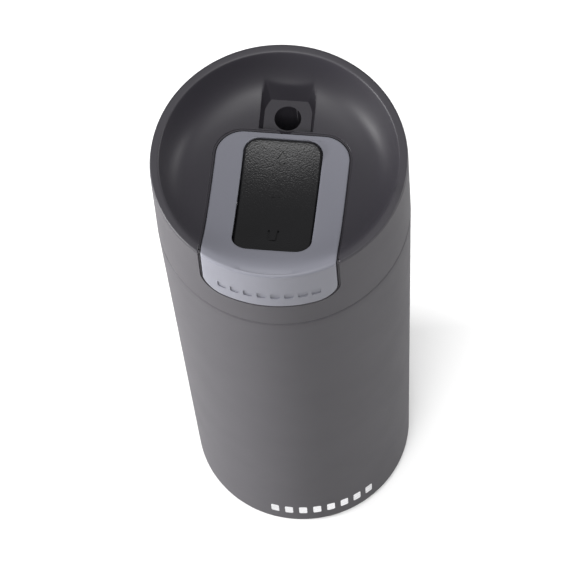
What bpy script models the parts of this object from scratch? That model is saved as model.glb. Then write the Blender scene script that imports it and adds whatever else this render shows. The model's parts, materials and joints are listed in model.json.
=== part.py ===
"""Insulated travel mug with a screw-on lid and a rocker-operated drinking valve.

Frame: metres, +Z up, origin at the centre of the base. The front, with the trim plate and the
rocker, faces -Y; the drinking spout is at the back, +Y. The dimensions below are in millimetres
and MM turns them into metres. Neighbouring pieces keep GAP between them.

Bodies: mug (steel vessel), lid_seal (ring that rises with the lid), lid, rocker, cartridge
(the removable valve insert) and valve. At rest the lid is screwed home and the rocker's front
end is down, which holds the valve open.
"""
import math

import bmesh
import bpy
from mathutils import Matrix, Vector

MM = 0.001
GAP = 0.3

# Overall form
HEIGHT = 205.0
RIM_RADIUS = 40.0
BODY_TOP_RADIUS = 39.87
BASE_RADIUS = 35.2
BASE_CORNER = 3.0
BASE_LIFT = 1.0
SEAM_LOW = 169.5
SEAM_HIGH = 170.0
ROUND_STEPS = 48
MEDIUM_STEPS = 32
SMALL_STEPS = 16

# Steel vessel
WALL = 0.6
SHELL_LIP_RADIUS = 37.6
NECK_RADIUS = 35.3
NECK_BOTTOM = 147.0
VESSEL_TOP_RADIUS = 34.9
VESSEL_BASE_RADIUS = 31.1
VESSEL_FLOOR = 11.0
VESSEL_CORNER = 9.0
PAD_RADIUS = 29.9
PAD_THICKNESS = 2.0
BASE_PLATE_RADIUS = 32.8
BASE_PLATE_Z = 2.3
DIMPLE_RADIUS = 4.5
DIMPLE_DEPTH = 2.0
BEAD_RADIUS = 1.3
GETTER_RADIUS = 4.5
GETTER_X = 17.0
PAD_RING_RADIUS = 25.0
PAD_RING_DEPTH = 0.8

# Three-start screw thread between the neck and the lid
THREAD_STARTS = 3
THREAD_LEAD = 15.0
THREAD_SWEEP = 100.0
THREAD_ROOT_HALF = 1.0
THREAD_CREST_HALF = 0.6
THREAD_STEPS = 10
LID_THREAD_Z = 152.4
NECK_THREAD_Z = 154.9
NECK_THREAD_CREST = 34.0
LID_THREAD_CREST = 34.9

# Lid bowl: a floor swept up towards the front, and a wall that grows out of it towards the rim
EDGE_ROUND = 0.8
LIP_ROUND = 0.4
LIP_RADIUS = 39.9
LIP_LOW = 204.5
HOUSING_RADIUS = 38.5
COLLAR_TOP = 204.2
COLLAR_INSIDE = 38.8
BOWL_RADIUS = 37.2
WALL_POWER_SIDE = 12.0
WALL_POWER_BACK = 5.5
WALL_POWER_FRONT = 7.0
FLOOR_Z = 191.7
FLOOR_LOW_Y = 20.5
FLOOR_SWEEP = 133.0
CEILING = 3.2
COLLAR_BORE = 37.2
CEILING_RINGS = (0.0, 8.0, 16.0, 24.0, 29.0, 34.0, COLLAR_BORE)
BOWL_RINGS = (37.6, 37.2, 36.2, 35.0, 33.5, 31.5, 28.5, 24.0, 16.0, 8.0, 0.0)

# Trim plate, let into the bowl floor and over the rim
TRIM_HALF_WIDTH = 21.3
TRIM_BACK = 16.0
TRIM_CORNER = 8.5
TRIM_DROP = 21.5
TRIM_FOOT_CORNER = 6.0
TRIM_THICKNESS = 1.2
TRIM_GROOVE = 0.5
TRIM_SEAT = 1.8

# Rocker in the window of the trim plate
WINDOW_HALF_WIDTH = 12.4
WINDOW_BACK = 13.5
WINDOW_FRONT = -29.5
WINDOW_CORNER = 5.0
ROCKER_CLEARANCE = 0.4
ROCKER_SWING = 0.6
PIVOT = (0.0, -8.0, 187.8)
ROCKER_TILT = 4.0
ROCKER_DISH = 1.6
PAD_SKIN = 2.2
CARRIER_DEPTH = 2.9
HUB_RADIUS = 2.6
HUB_HALF_LENGTH = 11.5
EAR_RADIUS = 3.3
PAD_GAP = 0.5
CARRIER_INSET = 0.6
LEG_HALF_DEPTH = 1.6
LEG_HALF_WIDTH = 3.5
LEG_FOOT = 173.6
LEG_HEAD = 193.0
PIN_RADIUS = 1.25
PIN_HALF_LENGTH = 16.6
EAR_INSIDE = 13.0
EAR_OUTSIDE = 16.0

# Rocker frame under the bowl, held by four screws
FRAME_LOW = 181.5
FRAME_HIGH = 183.5
FRAME_CORNER = 3.5
BOSS_FOOT = 183.8
BOSS_RADIUS = 2.8
BUSH_RADIUS = 2.4
SCREW_X = 17.0
SCREW_YS = (-26.0, 5.0)
SCREW_RADIUS = 1.0
SCREW_STEPS = 12
LEAF_HALF_WIDTH = 4.0

# Drinking spout: the pocket's sections are (y, foot height, half width at the foot, height at the side)
SPOUT_HALF_TOP = 8.3
SPOUT_SECTIONS = ((18.3, 188.0, 3.9, 190.9), (25.0, 188.0, 6.2, 191.2), (28.0, 190.6, 7.3, 193.4),
                  (32.5, 197.5, 8.2, 198.2))
CHIMNEY_FOOT = 159.7

# Valve
STEM_Y = -22.0
STEM_RADIUS = 2.0
DRINK_Y = 22.3
DRINK_RADIUS = 4.0
CHIMNEY_RADIUS = 5.8
VENT_Y = -2.0
VENT_RADIUS = 1.8
GUIDE_Y = 8.0
PLUG_BOTTOM = 150.0
PLUG_BORE = 32.0
PLUG_RADIUS = 33.6
CARTRIDGE_RADIUS = 31.6
PORT_PLATE_LOW = 153.0
PORT_PLATE_HIGH = 155.0
BEAM_LOW = 146.5
BEAM_HIGH = 148.2
SEAL_TOP = 150.5
SPRING_TURNS = 6
SPRING_RADIUS = 4.4
SPRING_WIRE = 0.45


def clear_scene():
    for obj in list(bpy.data.objects):
        bpy.data.objects.remove(obj, do_unlink=True)


def make_material(name, colour, roughness, metallic=0.0):
    material = bpy.data.materials.new(name)
    material.use_nodes = True
    shader = material.node_tree.nodes["Principled BSDF"]
    shader.inputs["Base Color"].default_value = (*colour, 1.0)
    shader.inputs["Roughness"].default_value = roughness
    shader.inputs["Metallic"].default_value = metallic
    material.diffuse_color = (*colour, 1.0)
    return material


def make_pivot(name, at=(0.0, 0.0, 0.0), parent=None):
    """An empty on a joint's axis, at a point in millimetres."""
    pivot = bpy.data.objects.new(name, None)
    bpy.context.collection.objects.link(pivot)
    pivot.empty_display_size = 0.01
    place = Vector(at) * MM
    if parent is not None:
        pivot.parent = parent
        place = place - parent.matrix_world.translation
    pivot.location = place
    bpy.context.view_layer.update()
    return pivot


# ---------------------------------------------------------------- mesh helpers

def finish_mesh(name, bm, material=None, pivot=None):
    """Turn a bmesh drawn in world millimetres into an object that hangs from its pivot."""
    bmesh.ops.remove_doubles(bm, verts=bm.verts, dist=1e-4)
    bmesh.ops.dissolve_degenerate(bm, edges=bm.edges, dist=1e-5)
    bmesh.ops.recalc_face_normals(bm, faces=bm.faces)
    bm.transform(Matrix.Scale(MM, 4))
    if pivot is not None:
        bm.transform(Matrix.Translation(-pivot.matrix_world.translation))
    mesh = bpy.data.meshes.new(name)
    bm.to_mesh(mesh)
    bm.free()
    obj = bpy.data.objects.new(name, mesh)
    bpy.context.collection.objects.link(obj)
    obj.parent = pivot
    if material is None:
        obj.hide_render = True
        obj.display_type = "WIRE"
    else:
        mesh.materials.append(material)
        mesh.shade_smooth()
        mesh.set_sharp_from_angle(angle=math.radians(35))
    return obj


def arc(centre, radius, start, end, steps):
    """Points of an arc in degrees, ends included."""
    points = []
    for i in range(steps + 1):
        angle = math.radians(start + (end - start) * i / steps)
        points.append((centre[0] + radius * math.cos(angle), centre[1] + radius * math.sin(angle)))
    return points


def rounded_rectangle(low, high, corners, steps=4):
    """A rectangle's outline; corners holds the four radii from the low-low corner, anticlockwise."""
    places = ((low[0], low[1], 1, 1, 180), (high[0], low[1], -1, 1, 270),
              (high[0], high[1], -1, -1, 0), (low[0], high[1], 1, -1, 90))
    outline = []
    for (x, y, side_x, side_y, start), radius in zip(places, corners):
        if radius <= 0:
            outline.append((x, y))
        else:
            outline += arc((x + side_x * radius, y + side_y * radius), radius, start, start + 90, steps)
    return outline


def add_turned(bm, profile, centre=(0.0, 0.0), steps=ROUND_STEPS):
    """Spin a closed profile of (radius, z) points about a vertical axis."""
    verts = [bm.verts.new((centre[0] + r, centre[1], z)) for r, z in profile]
    edges = [bm.edges.new((verts[i], verts[(i + 1) % len(verts)])) for i in range(len(verts))]
    bmesh.ops.spin(bm, geom=verts + edges, cent=(centre[0], centre[1], 0), axis=(0, 0, 1),
                   angle=math.tau, steps=steps, use_merge=True, use_duplicate=False)


def add_disc(bm, radius, low, high, centre=(0.0, 0.0), steps=SMALL_STEPS):
    add_turned(bm, [(0, high), (radius, high), (radius, low), (0, low)], centre, steps)


def add_ring(bm, inner, outer, low, high, centre=(0.0, 0.0), steps=SMALL_STEPS):
    add_turned(bm, [(inner, high), (outer, high), (outer, low), (inner, low)], centre, steps)


def add_prism(bm, outline, low, high, axis="Z"):
    """Extrude an outline: (x, y) along Z, (x, z) along Y, or (y, z) along X."""
    place = {"Z": lambda u, v, w: (u, v, w), "Y": lambda u, v, w: (u, w, v), "X": lambda u, v, w: (w, u, v)}
    verts = [bm.verts.new(place[axis](u, v, low)) for u, v in outline]
    face = bm.faces.new(verts)
    extruded = bmesh.ops.extrude_face_region(bm, geom=[face])
    moved = [item for item in extruded["geom"] if isinstance(item, bmesh.types.BMVert)]
    step = Vector(place[axis](0, 0, high - low))
    bmesh.ops.translate(bm, verts=moved, vec=step)


def add_box(bm, low, high):
    add_prism(bm, [(low[0], low[1]), (high[0], low[1]), (high[0], high[1]), (low[0], high[1])],
              low[2], high[2])


def add_bar(bm, radius, start, end, at, steps=SMALL_STEPS):
    """A round bar along X at (y, z)."""
    add_prism(bm, arc(at, radius, 0, 360 - 360 / steps, steps - 1), start, end, axis="X")


def turned(name, profile, material=None, pivot=None, centre=(0.0, 0.0), steps=ROUND_STEPS):
    bm = bmesh.new()
    add_turned(bm, profile, centre, steps)
    return finish_mesh(name, bm, material, pivot)


def solid(name, material, pivot, draw, *args, **options):
    """One object from one drawing call."""
    bm = bmesh.new()
    draw(bm, *args, **options)
    return finish_mesh(name, bm, material, pivot)


def combine(obj, tool, operation):
    modifier = obj.modifiers.new(tool.name, "BOOLEAN")
    modifier.operation = operation
    modifier.solver = "EXACT"
    modifier.object = tool


def cut(obj, *tools):
    for tool in tools:
        combine(obj, tool, "DIFFERENCE")


def join(obj, *tools):
    for tool in tools:
        combine(obj, tool, "UNION")


def keep_inside(obj, *tools):
    for tool in tools:
        combine(obj, tool, "INTERSECT")


# ---------------------------------------------------------------- shared surfaces

def floor_height(y):
    """The bowl floor: a concave sweep, level near the spout and meeting the rim at the front."""
    return FLOOR_Z + FLOOR_SWEEP - math.sqrt(FLOOR_SWEEP ** 2 - (y - FLOOR_LOW_Y) ** 2)


def bowl_height(x, y):
    """The floor, rising to the rim with a power of the radius: steep at the sides, softer at the ends."""
    end = WALL_POWER_BACK if y > 0 else WALL_POWER_FRONT
    power = WALL_POWER_SIDE - (WALL_POWER_SIDE - end) * (y / BOWL_RADIUS) ** 2
    floor = floor_height(y)
    return floor + (HEIGHT - floor) * min(math.hypot(x, y) / BOWL_RADIUS, 1.0) ** power


def ceiling_height(radius, y):
    """Underside of the bowl floor, lower near the collar."""
    height = floor_height(y) - CEILING
    if radius > 36:
        return 186.0
    if radius > 30:
        return min(height, 188.6)
    return height


def add_levels(bm, levels):
    """A closed skin of triangles through rings of (radius, height function), from the underside's
    centre to the top's. Skins with the same rings are split alike, so that they nest."""
    rows = []
    for radius, height in levels:
        row = []
        for i in range(ROUND_STEPS if radius > 0 else 1):
            angle = math.tau * i / ROUND_STEPS
            x, y = radius * math.cos(angle), radius * math.sin(angle)
            row.append(bm.verts.new((x, y, height(x, y))))
        rows.append(row)
    for lower, upper in zip(rows, rows[1:]):
        for i in range(ROUND_STEPS):
            j = (i + 1) % ROUND_STEPS
            if len(lower) > 1:
                bm.faces.new((lower[i], lower[j], upper[j % len(upper)]))
            if len(upper) > 1:
                bm.faces.new((lower[i % len(lower)], upper[j], upper[i]))


def add_lid_form(bm, inset, bottom):
    """The lid's outline with the bowl sunk in it, shrunk by inset: the pattern for the trim plate."""
    outside = RIM_RADIUS - inset
    levels = [(0.0, lambda x, y: bottom), (outside, lambda x, y: bottom)]
    add_levels(bm, levels + rim_levels(outside, HEIGHT - inset, EDGE_ROUND, inset))


def rim_levels(outside, top, rounding, inset=0.0):
    """Levels over the rim's rounding and down into the bowl."""
    levels = []
    for r, z in arc((outside - rounding, top - rounding), rounding, 0, 90, 2):
        levels.append((r, lambda x, y, level=z: level))
    for r in BOWL_RINGS:
        if r < outside - rounding:
            levels.append((r, lambda x, y: bowl_height(x, y) - inset))
    return levels


def add_housing_form(bm):
    """The bowl with its skirt inside the collar and a thin lip over the collar's top, open below."""
    levels = [(r, lambda x, y, radius=r: ceiling_height(radius, y)) for r in CEILING_RINGS]
    for r, z in ((COLLAR_BORE, SEAM_HIGH), (HOUSING_RADIUS, SEAM_HIGH), (HOUSING_RADIUS, LIP_LOW),
                 (LIP_RADIUS, LIP_LOW)):
        levels.append((r, lambda x, y, level=z: level))
    add_levels(bm, levels + rim_levels(LIP_RADIUS, HEIGHT, LIP_ROUND))


def add_trim_outline(bm, grow):
    """Plan outline of the trim plate, as a tall prism open to the front."""
    half = TRIM_HALF_WIDTH + grow
    corner = TRIM_CORNER + grow
    outline = rounded_rectangle((-half, -RIM_RADIUS - 5), (half, TRIM_BACK + grow), (0, 0, corner, corner), 6)
    add_prism(bm, outline, SEAM_HIGH - 5, HEIGHT + 5)


def add_trim_apron(bm, grow):
    """Front outline of the trim plate on the collar, as a deep prism."""
    half = TRIM_HALF_WIDTH + grow
    corner = TRIM_FOOT_CORNER + grow
    foot = HEIGHT - TRIM_DROP - grow
    outline = rounded_rectangle((-half - 1, foot), (half + 1, HEIGHT + 9), (corner + 1, corner + 1, 0, 0), 6)
    add_prism(bm, outline, -RIM_RADIUS - 4, TRIM_BACK + 4, axis="Y")


def window_outline(clearance=0.0, swing=0.0):
    """The rocker's window, or the rocker itself with clearance round it and room for its back end,
    which swings rearwards as it goes down."""
    half = WINDOW_HALF_WIDTH - clearance
    corner = WINDOW_CORNER - clearance
    back = WINDOW_BACK - clearance - swing
    return rounded_rectangle((-half, WINDOW_FRONT + clearance), (half, back), (corner,) * 4)


# ---------------------------------------------------------------- mug

def add_thread(bm, low, root, crest, facing):
    """Helical ribs; facing is 1 for ribs on a plug and -1 for ribs in a neck."""
    for start in range(THREAD_STARTS):
        first = 360.0 * start / THREAD_STARTS
        rows = []
        for i in range(THREAD_STEPS + 1):
            part = i / THREAD_STEPS
            angle = math.radians(first + THREAD_SWEEP * part)
            z = low + THREAD_LEAD * THREAD_SWEEP / 360.0 * part
            fade = min(1.0, part * 8, (1 - part) * 8)
            tip = root + (crest - root) * max(fade, 0.35)
            section = [(root, z - THREAD_ROOT_HALF), (tip, z - THREAD_CREST_HALF),
                       (tip, z + THREAD_CREST_HALF), (root, z + THREAD_ROOT_HALF)][::facing]
            rows.append([bm.verts.new((r * math.cos(angle), r * math.sin(angle), h)) for r, h in section])
        for row, following in zip(rows, rows[1:]):
            for k in range(4):
                bm.faces.new((row[k], row[(k + 1) % 4], following[(k + 1) % 4], following[k]))
        bm.faces.new(rows[0])
        bm.faces.new(rows[-1])


def build_outer_shell(material):
    """Painted steel outside, open at the bottom for the base plate and turned in at the mouth."""
    outside = arc((BASE_RADIUS - BASE_CORNER, BASE_LIFT + BASE_CORNER), BASE_CORNER, 0, -90, 3)
    inside = arc((BASE_RADIUS - BASE_CORNER, BASE_LIFT + BASE_CORNER), BASE_CORNER - WALL, -90, 0, 3)
    profile = [(SHELL_LIP_RADIUS, SEAM_LOW)]
    profile += arc((BODY_TOP_RADIUS - 1, SEAM_LOW - 1), 1.0, 90, 0, 2)
    profile += outside
    profile += [(PAD_RADIUS + GAP, BASE_LIFT), (PAD_RADIUS + GAP, BASE_LIFT + WALL)]
    profile += inside
    profile += [(BODY_TOP_RADIUS - WALL, SEAM_LOW - 1.4), (SHELL_LIP_RADIUS, SEAM_LOW - WALL)]
    return turned("outer_shell", profile, material)


def build_inner_vessel(material):
    """Bare steel liner with a rolled thread in its neck and a flange that meets the shell's lip."""
    bend = (VESSEL_BASE_RADIUS - VESSEL_CORNER, VESSEL_FLOOR + VESSEL_CORNER)
    inner_corner = arc(bend, VESSEL_CORNER, 0, -90, 4)
    outer_corner = arc(bend, VESSEL_CORNER + WALL, -90, 0, 4)
    profile = [(NECK_RADIUS, SEAM_LOW), (NECK_RADIUS, NECK_BOTTOM), (VESSEL_TOP_RADIUS, NECK_BOTTOM - 2)]
    profile += inner_corner
    profile += [(0, VESSEL_FLOOR), (0, VESSEL_FLOOR - WALL)]
    profile += outer_corner
    profile += [(VESSEL_TOP_RADIUS + WALL, NECK_BOTTOM - 2), (NECK_RADIUS + WALL, NECK_BOTTOM),
                (NECK_RADIUS + WALL, SEAM_LOW - WALL), (SHELL_LIP_RADIUS - GAP, SEAM_LOW - WALL),
                (SHELL_LIP_RADIUS - GAP, SEAM_LOW)]
    vessel = turned("inner_vessel", profile, material)
    thread = solid("neck_thread_tool", None, None, add_thread, NECK_THREAD_Z, NECK_RADIUS + GAP,
                   NECK_THREAD_CREST, -1)
    join(vessel, thread)
    return vessel


def build_mug_base(steel, silicone, seal, getter):
    """Base plate with its pump-out dimple, the bead that closes it, the getter and the foot pad."""
    low, high = BASE_PLATE_Z, BASE_PLATE_Z + WALL
    top, mouth = DIMPLE_RADIUS, DIMPLE_RADIUS + 1.5
    plate = [(0, high + DIMPLE_DEPTH), (top, high + DIMPLE_DEPTH), (mouth, high), (BASE_PLATE_RADIUS, high),
             (BASE_PLATE_RADIUS, low), (mouth, low), (top, low + DIMPLE_DEPTH), (0, low + DIMPLE_DEPTH)]
    turned("base_plate", plate, steel, steps=MEDIUM_STEPS)
    bead = arc((0, low + GAP), BEAD_RADIUS, 90, 0, 4) + [(0, low + GAP)]
    turned("vacuum_seal", bead, seal, steps=SMALL_STEPS)
    solid("getter", getter, None, add_disc, GETTER_RADIUS, high + GAP, high + 3, centre=(GETTER_X, 0))
    ring, depth = PAD_RING_RADIUS, PAD_RING_DEPTH
    pad = [(0, PAD_THICKNESS), (PAD_RADIUS, PAD_THICKNESS), (PAD_RADIUS, 0.5), (PAD_RADIUS - 0.5, 0),
           (ring, 0), (ring - 0.6, depth), (ring - 2.4, depth), (ring - 3, 0), (0, 0)]
    turned("base_pad", pad, silicone, steps=MEDIUM_STEPS)


# ---------------------------------------------------------------- lid

def build_lid_housing(material, pivot):
    """Moulded bowl with its skirt, spout pocket, chimney and the bosses for the rocker frame."""
    housing = solid("lid_housing", material, pivot, add_housing_form)
    bm = bmesh.new()
    for x, y in screw_places():
        head = floor_height(y) - CEILING + 0.8
        add_disc(bm, BOSS_RADIUS, BOSS_FOOT, head, centre=(x, y), steps=SCREW_STEPS)
    bosses = finish_mesh("boss_tool", bm)
    block = solid("spout_block_tool", None, None, add_box, (-10.5, 15.5, 185.0), (10.5, 33.0, 190.5))
    chimney = solid("chimney_tool", None, None, add_ring, DRINK_RADIUS, CHIMNEY_RADIUS, CHIMNEY_FOOT, 186.5,
                    centre=(0, DRINK_Y))
    bore = solid("chimney_bore_tool", None, None, add_disc, DRINK_RADIUS - 0.1, CHIMNEY_FOOT - 4, 200.0,
                 centre=(0, DRINK_Y))
    window = solid("window_tool", None, None, add_prism, window_outline(), SEAM_HIGH, HEIGHT + 5)

    recess = solid("trim_recess_tool", None, None, add_lid_form, -1.0, SEAM_HIGH + 2)
    keep_inside(recess, solid("recess_plan_tool", None, None, add_trim_outline, TRIM_GROOVE),
                solid("recess_front_tool", None, None, add_trim_apron, TRIM_GROOVE))
    cut(recess, solid("trim_seat_tool", None, None, add_lid_form, TRIM_SEAT, SEAM_HIGH - 3))

    bm = bmesh.new()
    for x, y in screw_places():
        add_disc(bm, SCREW_RADIUS + GAP, BOSS_FOOT - 2, BOSS_FOOT + 5.5, centre=(x, y), steps=SCREW_STEPS)
    holes = finish_mesh("boss_hole_tool", bm)

    join(housing, bosses, block, chimney)
    cut(housing, build_spout_tool(), bore, recess, window, holes)


def build_lid_collar(material, pivot):
    """Painted sleeve around the lid, flush with the body and notched for the trim plate."""
    profile = [(COLLAR_INSIDE, COLLAR_TOP)] + arc((RIM_RADIUS - 0.3, COLLAR_TOP - 0.3), 0.3, 90, 0, 2)
    profile += [(BODY_TOP_RADIUS, SEAM_HIGH + 0.4), (BODY_TOP_RADIUS - 0.4, SEAM_HIGH),
                (COLLAR_INSIDE, SEAM_HIGH)]
    collar = turned("lid_collar", profile, material, pivot)
    cut(collar, bpy.data.objects["trim_recess_tool"])


def screw_places():
    return [(side * SCREW_X, y) for side in (-1, 1) for y in SCREW_YS]


def build_spout_tool():
    """The drinking pocket: a chute from the back wall that narrows towards the drinking hole."""
    bm = bmesh.new()
    sections = []
    half, top = SPOUT_HALF_TOP, HEIGHT + 4
    for y, foot_z, foot_half, side_z in SPOUT_SECTIONS:
        outline = [(-foot_half, foot_z), (foot_half, foot_z), (half, side_z), (half, top), (-half, top),
                   (-half, side_z)]
        sections.append([bm.verts.new((x, y, z)) for x, z in outline])
    for section, following in zip(sections, sections[1:]):
        for k in range(6):
            bm.faces.new((section[k], section[(k + 1) % 6], following[(k + 1) % 6], following[k]))
    bm.faces.new(sections[0])
    bm.faces.new(sections[-1])
    return finish_mesh("spout_tool", bm)


def build_trim_plate(material, pivot):
    """Grey plate that lies flush in the bowl floor, turns over the rim and runs down the collar."""
    plate = solid("trim_plate", material, pivot, add_lid_form, 0.0, SEAM_HIGH + 5)
    keep_inside(plate, solid("trim_plan_tool", None, None, add_trim_outline, 0.0),
                solid("trim_front_tool", None, None, add_trim_apron, 0.0))
    cut(plate, solid("trim_back_tool", None, None, add_lid_form, TRIM_THICKNESS, SEAM_HIGH),
        bpy.data.objects["window_tool"])


def build_lid_plug(material, pivot):
    """Threaded ring under the collar, with the groove for the seal and a stop for the cartridge."""
    profile = [(31.4, 172.5), (36.9, 172.5), (36.9, SEAM_HIGH), (34.6, SEAM_HIGH), (34.6, 167.9),
               (33.0, 167.9), (33.0, 164.1), (34.6, 164.1), (34.6, 163.4), (PLUG_RADIUS, 163.4),
               (PLUG_RADIUS, PLUG_BOTTOM + 0.6), (PLUG_RADIUS - 0.6, PLUG_BOTTOM), (PLUG_BORE, PLUG_BOTTOM),
               (PLUG_BORE, 160.8), (30.2, 160.8), (30.2, 162.6), (31.4, 163.2)]
    plug = turned("lid_plug", profile, material, pivot)
    thread = solid("lid_thread_tool", None, None, add_thread, LID_THREAD_Z, PLUG_RADIUS - GAP,
                   LID_THREAD_CREST, 1)
    join(plug, thread)


def build_rocker_frame(plastic, steel, bush, pivot):
    """Frame under the bowl: its ears carry the rocker's pin in bushes, and screws hold it."""
    bm = bmesh.new()
    add_prism(bm, rounded_rectangle((-20.5, -29.5), (20.5, 8.5), (FRAME_CORNER,) * 4), FRAME_LOW, FRAME_HIGH)
    frame = finish_mesh("rocker_frame", bm, plastic, pivot)

    bm = bmesh.new()
    for side in (-1, 1):
        low, high = sorted((side * EAR_INSIDE, side * EAR_OUTSIDE))
        root = FRAME_HIGH - 1
        foot = [(PIVOT[1] - EAR_RADIUS - 1, root), (PIVOT[1] + EAR_RADIUS + 1, root)]
        add_prism(bm, foot + arc(PIVOT[1:], EAR_RADIUS, 0, 180, 8), low, high, axis="X")
    ears = finish_mesh("ear_tool", bm)
    opening = solid("frame_opening_tool", None, None, add_prism,
                    rounded_rectangle((-12.6, -26.5), (12.6, 4.0), (2.0,) * 4), FRAME_LOW - 2, FRAME_HIGH + 2)
    pin_hole = solid("pin_hole_tool", None, None, add_bar, BUSH_RADIUS, -20, 20, PIVOT[1:])
    bm = bmesh.new()
    for x, y in screw_places():
        add_disc(bm, SCREW_RADIUS + GAP, FRAME_LOW - 2, FRAME_HIGH + 2, centre=(x, y), steps=SCREW_STEPS)
    holes = finish_mesh("frame_hole_tool", bm)
    cut(frame, opening)
    join(frame, ears)
    cut(frame, pin_hole, holes)

    for name, side in (("left", -1), ("right", 1)):
        low, high = sorted((side * EAR_INSIDE, side * EAR_OUTSIDE))
        piece = solid("pin_bush_" + name, bush, pivot, add_bar, BUSH_RADIUS - GAP, low, high, PIVOT[1:],
                      SCREW_STEPS)
        cut(piece, solid("bush_bore_tool_" + name, None, None, add_bar, PIN_RADIUS + GAP, -20, 20, PIVOT[1:],
                         SCREW_STEPS))
    solid("rocker_pin", steel, pivot, add_bar, PIN_RADIUS, -PIN_HALF_LENGTH, PIN_HALF_LENGTH, PIVOT[1:],
          SCREW_STEPS)

    head, head_radius = FRAME_LOW - GAP, 2.2
    screw = [(0, BOSS_FOOT + 5.2), (SCREW_RADIUS, BOSS_FOOT + 4.6), (SCREW_RADIUS, head), (head_radius, head),
             (head_radius, head - 1.0), (head_radius - 0.6, head - 1.5), (0, head - 1.5)]
    for number, place in enumerate(screw_places(), 1):
        turned(f"frame_screw_{number}", screw, steel, pivot, place, SCREW_STEPS)

    low, high = FRAME_HIGH + GAP, FRAME_HIGH + GAP + 0.4
    leaf = [(8.4, low), (8.4, high), (4.6, high), (-1.2, high + 0.9), (-1.2, low + 0.9), (4.6, low)]
    solid("detent_spring", steel, pivot, add_prism, leaf, -LEAF_HALF_WIDTH, LEAF_HALF_WIDTH, axis="X")


# ---------------------------------------------------------------- rocker

def rocker_height(x, y):
    """Touch surface at rest: dished for a finger, its front end low and its back end proud."""
    along = (y - PIVOT[1]) / (WINDOW_BACK - PIVOT[1])
    dish = ROCKER_DISH * (1 - along ** 2) * (1 - 0.3 * (x / WINDOW_HALF_WIDTH) ** 2)
    return floor_height(y) - dish + math.tan(math.radians(ROCKER_TILT)) * (y - PIVOT[1])


def add_cushion(bm, outline, top, bottom, rings=(1.0, 0.9, 0.6, 0.3, 0.0)):
    """A lens of scaled copies of an outline between two height functions."""
    centre = (0.0, (WINDOW_FRONT + WINDOW_BACK) / 2)

    def rows(height, scales):
        made = []
        for scale in scales:
            ring = []
            for x, y in (outline if scale > 0 else outline[:1]):
                px, py = centre[0] + (x - centre[0]) * scale, centre[1] + (y - centre[1]) * scale
                ring.append(bm.verts.new((px, py, height(px, py))))
            made.append(ring)
        return made

    stack = rows(bottom, rings[::-1]) + rows(top, rings)
    count = len(outline)
    for lower, upper in zip(stack, stack[1:]):
        for i in range(count):
            j = (i + 1) % count
            corners = [lower[i % len(lower)], lower[j % len(lower)],
                       upper[j % len(upper)], upper[i % len(upper)]]
            bm.faces.new(list(dict.fromkeys(corners)))


def build_rocker(soft, plastic, pivot):
    """Soft-touch pad on a stiff carrier whose hub turns on the pin and whose leg works the valve."""
    outline = window_outline(ROCKER_CLEARANCE, ROCKER_SWING)
    solid("rocker_pad", soft, pivot, add_cushion, outline, rocker_height,
          lambda x, y: rocker_height(x, y) - PAD_SKIN)
    top = PAD_SKIN + PAD_GAP
    core_outline = window_outline(ROCKER_CLEARANCE + CARRIER_INSET, ROCKER_SWING)
    carrier = solid("rocker_carrier", plastic, pivot, add_cushion, core_outline,
                    lambda x, y: rocker_height(x, y) - top,
                    lambda x, y: rocker_height(x, y) - top - CARRIER_DEPTH)
    hub = solid("hub_tool", None, None, add_bar, HUB_RADIUS, -HUB_HALF_LENGTH, HUB_HALF_LENGTH, PIVOT[1:])
    nose = [(STEM_Y - LEG_HALF_DEPTH, LEG_HEAD)] + arc((STEM_Y, LEG_FOOT), LEG_HALF_DEPTH, 180, 360, 6)
    leg = solid("leg_tool", None, None, add_prism, nose + [(STEM_Y + LEG_HALF_DEPTH, LEG_HEAD)],
                -LEG_HALF_WIDTH, LEG_HALF_WIDTH, axis="X")
    join(carrier, hub, leg)
    cut(carrier, solid("hub_bore_tool", None, None, add_bar, PIN_RADIUS + GAP, -20, 20, PIVOT[1:], 12))


# ---------------------------------------------------------------- cartridge and valve

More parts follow.
